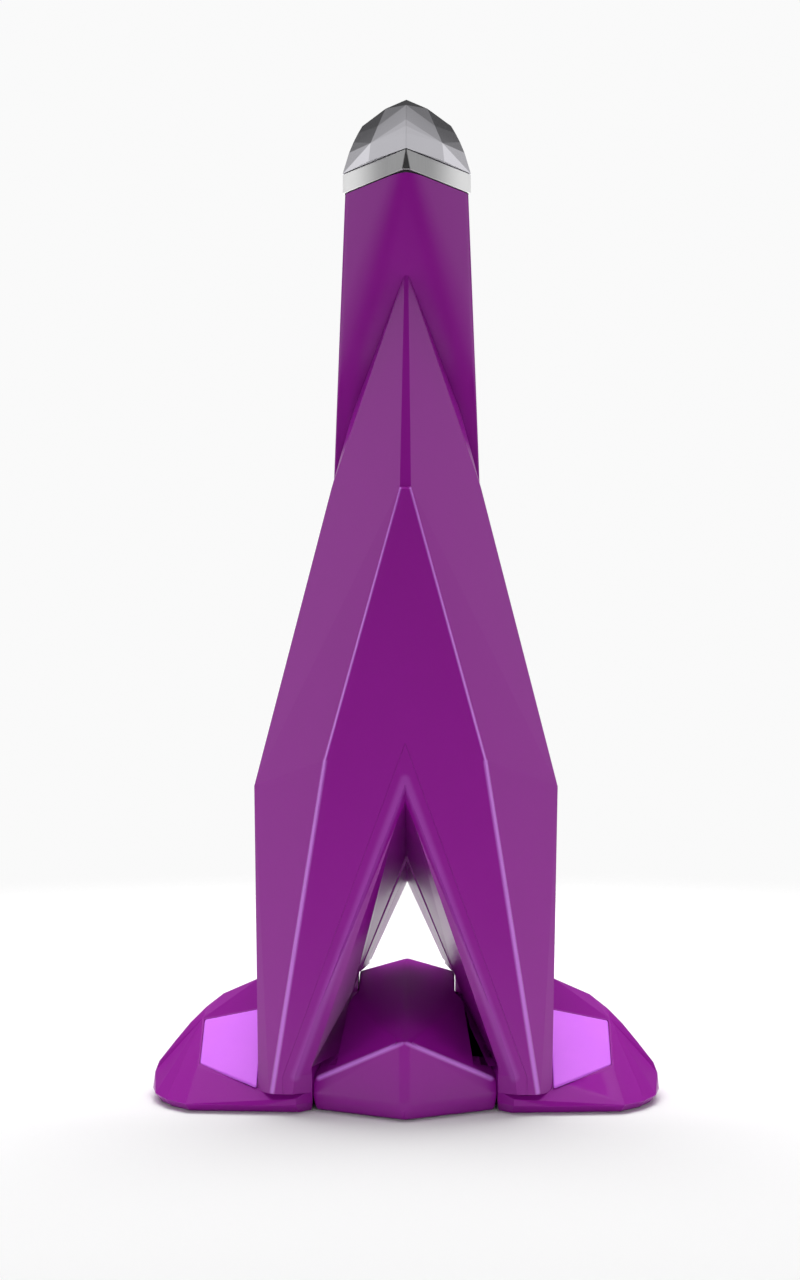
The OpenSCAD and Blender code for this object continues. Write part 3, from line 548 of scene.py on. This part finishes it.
# what the fluke leaves free for the crown
underTop = crownTop + [(x, y, z - 40) for x, y, z in crownTop]
aroundCrest = [(x, y - 0.3, z + 0.2) for x, y, z in crest]
roomTools = [("DIFFERENCE", hull(side)) for points in (underTop, aroundCrest) for side in mirroredSides(points)]
openTools = [("DIFFERENCE", t) for t in (tunnelEase, tunnelUpper, tunnelLower)]

plateOutline = plateRing(0) + plateRing(fluke["faceProud"], 1)
platePrism = both(plateRing(-10, 1) + plateRing(fluke["faceProud"] - 0.05, 1))
shellPoints = both(
    fluke["band"] + plateRing(fluke["faceProud"], 1)[1:] + [fluke["edge"], fluke["shoulder"], fluke["footOut"]]
    + fluke["tall"])
platePart = hull(both(plateOutline))
rimPart = carve(platePart.copy(), [("INTERSECT", rim)])
# recess that the rear cover lies in
coverPoints = [v.co / mm for v in nodes["fluke_back"].data.vertices]
coverMiddle = sum((p.y for p in coverPoints), 0.0) / len(coverPoints)
slack = fluke["recessGap"]
recess = hull([(p.x + math.copysign(slack, p.x), p.y + (2 if p.y > coverMiddle else -0.05), p.z + lift)
               for p in coverPoints for lift in (-slack, slack)])
shellSteps = [("DIFFERENCE", hull(platePrism)), ("UNION", rimPart), ("DIFFERENCE", recess)]
shellMesh = carve(hull(shellPoints), shellSteps + openTools + roomTools, 2.5)


def onWall(p):
    # true near the edges of the opening between the legs
    front = fluke["openFront"]
    reach = front[0] + fluke["openEase"][0] + 1.5
    span = reach * (1 - max(0, p.z - front[1]) / (front[2] + 14 - front[1]))
    return p.x < span + 0.5 and p.y < -50 and p.z < front[2] + 14


def shellWidth(a, b):
    if max(a.x, b.x) < 2.6 and min(a.z, b.z) > 240:
        return fluke["bandSoft"]
    if a.y > -3 or b.y > -3:
        return fluke["backSoft"]
    if onWall(a) and onWall(b):
        return fluke["openSoft"]
    shoulderZ = fluke["shoulder"][2]
    atShoulder = abs(a.z - shoulderZ) < 2 or abs(b.z - shoulderZ) < 2
    return fluke["creaseSoft"] if atShoulder and abs(a.z - b.z) < 16 else fluke["edgeSoft"]


flukeShell = rounded(piece("flukeShell", shellMesh, "crown", "purple_shell", "fluke_shell"),
                     fluke["widestSoft"], shellWidth, 5)

plateMesh = carve(platePart, [("DIFFERENCE", rim)] + openTools + roomTools)


def plateWidth(a, b):
    return 0 if onWall(a) and onWall(b) else fluke["faceSoft"]


flukeShell.data.materials[0] = flukeWithPaintedHighlights
flukeFace = rounded(piece("flukeFace", plateMesh, "crown", "purple_shell", "fluke_face"),
                    fluke["faceSoft"], plateWidth, 3)
flukeFace.data.materials[0] = flukeWithPaintedHighlights
print("fluke shells are made")

crown = {"bottomSoft": 3.2, "lobeSoft": 2.6, "crestSoft": 1.5, "toeEdge": 1.1, "bandSoft": 1.2, "treadDeep": 1.2,
         "rampGap": 0.35, "treadGap": 0.12, "treadSoft": 0.7, "treadCorner": 1.6, "innerSoft": 0.7, "seatSoft": 0.25,
         "seatBox": ((57, -57.5, 5), (83.2, -11, 33))}


def rampSide(y):
    return wallX(y) - crown["rampGap"]


rampFront = both([(1.6, -77.1, 5.55), (1.6, -74.1, 30.6), (crownIn - 0.1, -55, 12.8), (crownIn - 0.1, -57, 6.5),
                  (rampSide(-10), -10, 36.5), (19.7, -1, 39.6), (0, -1, 45.2),
                  (0, -75.4, 0.5), (rampSide(-54.6), -54.6, 0.5), (rampSide(-10), -10, 0.5), (19.7, -1, 0.5)])
rampRear = both([(19.7, -1.1, 39.55), (0, -1.1, 45.17), (19.7, 20, 43.9), (0, 21, 49.3), (19.7, 43, 12), (0, 46, 14),
                 (19.7, 43, 6), (0, 46, 6), (19.7, 39, 0.5), (0, 42, 0.5), (19.7, -1.1, 0.5)])
rampMesh = carve(hull(rampFront), [("UNION", hull(rampRear))], 2.0)


def rampWidth(a, b):
    # a and b are the two ends of an edge, here and in the functions like it
    if a.z < 1 and b.z < 1:
        return crown["bottomSoft"] * 0.6
    if a.z < 14 and b.z < 14 and a.y < -50 and b.y < -50 and abs(a.z - b.z) < 2:
        return crown["bottomSoft"]
    if max(a.x, b.x) < 2:
        return crown["bandSoft"]
    if min(a.y, b.y) < -70:
        return crown["toeEdge"]
    return crown["crestSoft"]


toeRamp = rounded(piece("toeRamp", rampMesh, "crown", "purple_shell", "toe_ramp"), crown["bottomSoft"], rampWidth, 5)
toeRamp.data.materials[0] = toeWithPaintedHighlights


def inside(point, low, high):
    return all(l <= v <= h for l, v, h in zip(low, point, high))


def treadZ(x, y):
    # sloping top of the inlays
    return 15.7 + 0.535 * (y + 41) + 0.104 * (82.65 - x)


def treadPlan(grow=0.0):
    return [(58.2 - grow, -56.2 - 1.3 * grow), (81.75 + grow, -40.4 - 1.1 * grow), (81.75 + grow, -15.6 + grow),
            (58.2 - grow, -12.4 + grow)]


def lobeWidth(a, b):
    if a.z < 6 and b.z < 6:
        return crown["bottomSoft"] if max(a.z, b.z) > 2 else crown["bottomSoft"] * 0.7
    if a.x < 40 and b.x < 40:
        return crown["innerSoft"]
    if all(inside(p, *crown["seatBox"]) for p in (a, b)):
        if all(abs(p.z - treadZ(p.x, p.y)) < 0.1 for p in (a, b)):
            return crown["seatSoft"]
        if a.z < treadZ(a.x, a.y) - 0.5:
            return 0
    return crown["lobeSoft"]


def treadWidth(a, b):
    upright = math.hypot(a.x - b.x, a.y - b.y) < 0.4
    return crown["treadCorner"] if upright else crown["treadSoft"]


for side, name in ((1, "right"), (-1, "left")):
    seat = [(x, y, treadZ(x, y) + lift) for x, y in treadPlan(crown["treadGap"]) for lift in (-crown["treadDeep"], 4)]
    pad = [(x, y, treadZ(x, y) + lift) for x, y in treadPlan() for lift in (-crown["treadDeep"] + 0.02, 0.05)]
    body, back, seatTool, padShape, crestRoom = [
        hull([(side * x, y, z) for x, y, z in points])
        for points in (crownTop + crownFoot, crest, seat, pad, [(x, y - 0.25, z + 0.1) for x, y, z in crest])]
    lobe = carve(body, [("UNION", back), ("DIFFERENCE", seatTool)], 3.0)
    rounded(piece(name + "Lobe", lobe, "crown", "purple_shell", name + "_stabiliser"),
            crown["bottomSoft"], lobeWidth, 5)
    tread = carve(padShape, [("DIFFERENCE", crestRoom)])
    rounded(piece(name + "Tread", tread, "crown", "lilac_inlay", name + "_tread"), crown["treadCorner"],
            treadWidth, 4)
print("crown shells are made")

shank = {
    "collarZ": 363.3, "slant": 0.32, "kneeZ": 286, "endZ": 31.6, "ridgeY": -24,
    # half widths and the back, each as height and size
    "half": [(20, 36), (100, 36), (286, 29), (363.3, 26)],
    "backHalf": [(20, 33), (100, 30), (286, 19), (363.3, 15)],
    "backY": [(20, 22), (100, 22), (286, 21), (363.3, 18)],
    "blend": 8.0, "topBlend": 3.5, "blendRun": 45, "kneeSoft": 4, "leanFrom": 300, "easeWidth": 0.7,
    "edge": 2.6, "backEdge": 3.0, "seamY": 11, "seam": 0.12,
}


def along(pairs, z):
    for (low, a), (high, b) in zip(pairs, pairs[1:]):
        if z <= high:
            return between(a, b, max(0, (z - low) / (high - low)))
    return pairs[-1][1]


ridgeTop = Vector((0, shank["ridgeY"], shank["collarZ"] - shank["slant"] * shank["ridgeY"]))
corner = Vector((26, 0, shank["collarZ"]))
knee = Vector((29, 0, shank["kneeZ"]))
sideNormal = (corner - ridgeTop).cross(knee - ridgeTop)


def softMax(a, b, soft):
    # larger of two numbers, with a rounded change from one to the other
    share = max(soft - abs(a - b), 0) / soft
    return max(a, b) + share * share * soft / 4


def frontY(x, z):
    # flat at the bottom, two sides that meet in a ridge at the top
    side = ridgeTop.y - (sideNormal.x * (abs(x) - ridgeTop.x) + sideNormal.z * (z - ridgeTop.z)) / sideNormal.y
    flat = ridgeTop.y * (z - shank["kneeZ"]) / (ridgeTop.z - shank["kneeZ"])
    down = min(1, max(0, (ridgeTop.z - z) / shank["blendRun"]))
    soft = between(shank["topBlend"], shank["blend"], down)
    middle = -softMax(-flat, 0, shank["kneeSoft"])
    return softMax(side, middle, soft)


def curve(a, corner, b, count):
    # round stretch from a to b that the corner pulls on
    steps = [k / count for k in range(count + 1)]
    return [((1 - q) ** 2 * a[0] + 2 * q * (1 - q) * corner[0] + q * q * b[0],
             (1 - q) ** 2 * a[1] + 2 * q * (1 - q) * corner[1] + q * q * b[1]) for q in steps]


def halfSection(z, front):
    # plan outline of one half shell, right side, from the middle outwards
    half, backHalf, backY = (along(shank[key], z) for key in ("half", "backHalf", "backY"))
    seamShare = shank["seamY"] / backY
    seamX = between(half, backHalf, seamShare)
    if front:
        stop = half - shank["edge"]
        line = [(stop * k / 16, frontY(stop * k / 16, z)) for k in range(16)]
        start = (stop, frontY(stop, z))
        peak = (half, min(frontY(half, z), 0.5))
        away = shank["edge"] / shank["seamY"]
        down = (between(peak[0], seamX, away), between(peak[1], shank["seamY"], away))
        return line + curve(start, peak, down, 6) + [(seamX, shank["seamY"] - shank["seam"])]
    soft = shank["backEdge"]
    long = math.hypot(half - backHalf, backY)
    up = (backHalf + (half - backHalf) * soft / long, backY - backY * soft / long)
    inner = (backHalf - soft, backY)
    return [(0, backY), (inner[0] * 0.5, backY)] + curve(inner, (backHalf, backY), up, 5) \
        + [(seamX, shank["seamY"] + shank["seam"])]


def shankRow(z, front):
    # z is the height at y = 0; near the collar the row leans like the collar
    lean = shank["slant"] * min(1, max(0, (z - shank["leanFrom"]) / (shank["collarZ"] - shank["leanFrom"])))
    right = halfSection(z, front)
    points = [(x, y, z - lean * y) for x, y in right]
    left = [(-x, y, h) for x, y, h in points[:0:-1]]
    return points + left


def shankShell(front):
    # levels lie closer together where the front turns into a ridge
    levels = [shank["endZ"], 60, 100, 150, 200, 240, 262, 272, *range(278, 363, 3), shank["collarZ"]]
    return loft([shankRow(z, front) for z in levels])


# the way through between the yoke's legs
windowTop = hull(both([(0, -0.5, 92.7), (19.1, -0.5, 46.5), (0, 22.5, 80.8), (15.65, 22.5, 46.5)]))
windowLow = hull([(x, y, z) for x in (-20, 20) for y in (-1, 23) for z in (-1, 46.52)])
windowStep = hull([(x, y, z) for x in (-15.7, 15.7) for y in (-1, 23) for z in (44.5, 48.5)])
for front, name, node in ((True, "shankFront", "shank_front"), (False, "shankBack", "shank_back")):
    mesh = carve(shankShell(front), [("DIFFERENCE", t) for t in (windowTop, windowLow, windowStep)])
    eased(piece(name, mesh, "shank", "purple_shell", node), shank["easeWidth"], 3, 38)
print("shank shells are made")

head = {
    "base": 371.7, "tall": 28.3, "slant": 0.32, "ridgeSoft": 0.9, "cornerSoft": 0.45, "outerSoft": 0.7,
    "eyeSoft": 0.35,
    "rows": [  # share of the height, half width, ridge y, corner x and y, rear half width, rear y
        (0.00, 26.0, -24.0, 15.2, -12.0, 15.0, 18.0), (0.30, 23.4, -23.0, 14.4, -11.6, 13.6, 17.0),
        (0.45, 21.6, -22.2, 12.8, -11.4, 12.6, 16.0), (0.58, 19.7, -21.3, 11.5, -11.0, 11.5, 15.0),
        (0.68, 18.0, -20.4, 10.2, -10.6, 10.4, 13.8), (0.87, 8.6, -18.4, 8.4, -9.6, 6.0, 9.5)],
    "crest": [(0, -13, 400), (0, 3, 398.8)], "boltRoom": (9.3, 5.7, 16.3),   # half width, front, back
    "collarLow": 363.85, "collarFlat": 1.6, "eye": (8.0, 384.7, 7.02),
}


def headRow(row):
    # one level of the head, leaning like the collar at the bottom and level at the top
    share, half, ridge, cornerX, cornerY, rearX, rearY = row
    z = head["base"] + share * head["tall"] + 0.15
    tilt = head["slant"] * (1 - share)
    return both([(0, ridge, z - tilt * ridge), (cornerX, cornerY, z - tilt * cornerY), (half, 0, z),
                 (rearX, rearY, z - tilt * rearY)])


headPoints = [p for row in head["rows"] for p in headRow(row)] + head["crest"]


def rod(radius, y, z, length, count=64):
    ring = [(y + radius * math.cos(math.tau * k / count), z + radius * math.sin(math.tau * k / count))
            for k in range(count)]
    return loft([[(x, a, b) for a, b in ring] for x in (-length / 2, length / 2)])


def boltRoom(low, high):
    half, front, back = head["boltRoom"]
    return hull([(x, y, z) for x in (-half, half) for y in (front, back) for z in (low, high)])


eyeY, eyeZ, eyeR = head["eye"]
headMesh = carve(hull(headPoints), [("DIFFERENCE", rod(eyeR, eyeY, eyeZ, 90)),
                                    ("DIFFERENCE", boltRoom(360, 377.2))], 1.2)


def headWidth(a, b):
    if all(math.hypot(p.y - eyeY, p.z - eyeZ) < eyeR + 0.1 for p in (a, b)):
        return head["eyeSoft"]
    if a.x < 0.1 and b.x < 0.1:
        return head["ridgeSoft"]
    return head["cornerSoft"] if a.y < -5 and b.y < -5 else head["outerSoft"]


rounded(piece("rodeHead", headMesh, "shank", "polished_head", "rode_head"), head["ridgeSoft"], headWidth, 4)

flatX, ridge, slant, low = head["collarFlat"], -24, head["slant"], head["collarLow"]
collarPoints = both([(26, 0, low), (15, 18, low - slant * 18), (flatX, ridge + 1, low - slant * (ridge + 1)),
                     (0, ridge, head["base"] - slant * ridge), (26, 0, head["base"]),
                     (15, 18, head["base"] - slant * 18)])
collarMesh = carve(hull(collarPoints), [("DIFFERENCE", boltRoom(350, 380))])
rounded(piece("collar", collarMesh, "shank", "brushed_collar", "collar"), 0.4, lambda a, b: 0.35, 3)
print("collar and head are made")
